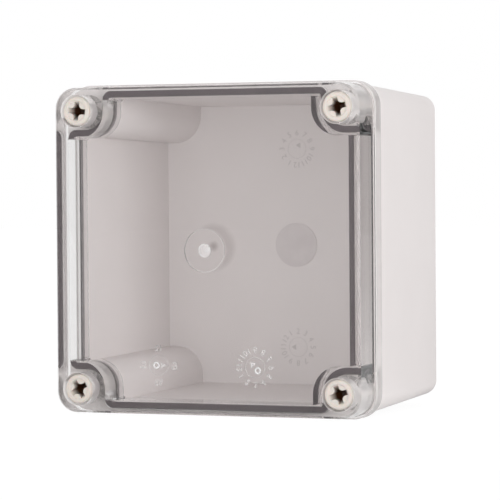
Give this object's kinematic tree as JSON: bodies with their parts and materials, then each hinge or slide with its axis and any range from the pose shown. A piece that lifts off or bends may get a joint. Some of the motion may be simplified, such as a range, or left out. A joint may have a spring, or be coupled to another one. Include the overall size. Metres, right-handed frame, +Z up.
{
  "type": "plastic enclosure",
  "caption": "Square wall-mounting plastic enclosure with a clear screw-on lid, rim gasket, captive cover screws and wall holes in its corner columns.",
  "frame": {"origin": "centre of the flat back face, the face that goes against a wall", "axes": "-Y out through the lid, +Y into the wall, +X to the right and +Z up as seen from the front"},
  "size_m": [0.125, 0.097, 0.125],
  "materials": {
    "base_abs": "injection-moulded light warm grey, fine satin",
    "clear_polycarbonate": "clear moulded polycarbonate, polished",
    "gasket_foam": "dark grey, matt closed-cell foam",
    "screw_nylon": "moulded off-white nylon, satin"
  },
  "bodies": {
    "base_body": {"base": "base_abs"},
    "lid_body": {"lid": "clear_polycarbonate", "gasket": "gasket_foam"},
    "screw_top_left_body": {"cover_screw_top_left": "screw_nylon"},
    "screw_top_right_body": {"cover_screw_top_right": "screw_nylon"},
    "screw_bottom_left_body": {"cover_screw_bottom_left": "screw_nylon"},
    "screw_bottom_right_body": {"cover_screw_bottom_right": "screw_nylon"}
  },
  "joints": [
    {"name": "lid_lift_off", "type": "slide", "parent": "base_body", "child": "lid_body", "axis": [0, -1, 0], "range_m": [0, 0.06]},
    {"name": "screw_top_left_turn", "type": "hinge", "parent": "lid_body", "child": "screw_top_left_body", "pos_m": [-0.0525, -0.0968, 0.0525], "axis": [0, -1, 0], "continuous": true},
    {"name": "screw_top_right_turn", "type": "hinge", "parent": "lid_body", "child": "screw_top_right_body", "pos_m": [0.0525, -0.0968, 0.0525], "axis": [0, -1, 0], "continuous": true},
    {"name": "screw_bottom_left_turn", "type": "hinge", "parent": "lid_body", "child": "screw_bottom_left_body", "pos_m": [-0.0525, -0.0968, -0.0525], "axis": [0, -1, 0], "continuous": true},
    {"name": "screw_bottom_right_turn", "type": "hinge", "parent": "lid_body", "child": "screw_bottom_right_body", "pos_m": [0.0525, -0.0968, -0.0525], "axis": [0, -1, 0], "continuous": true}
  ]
}
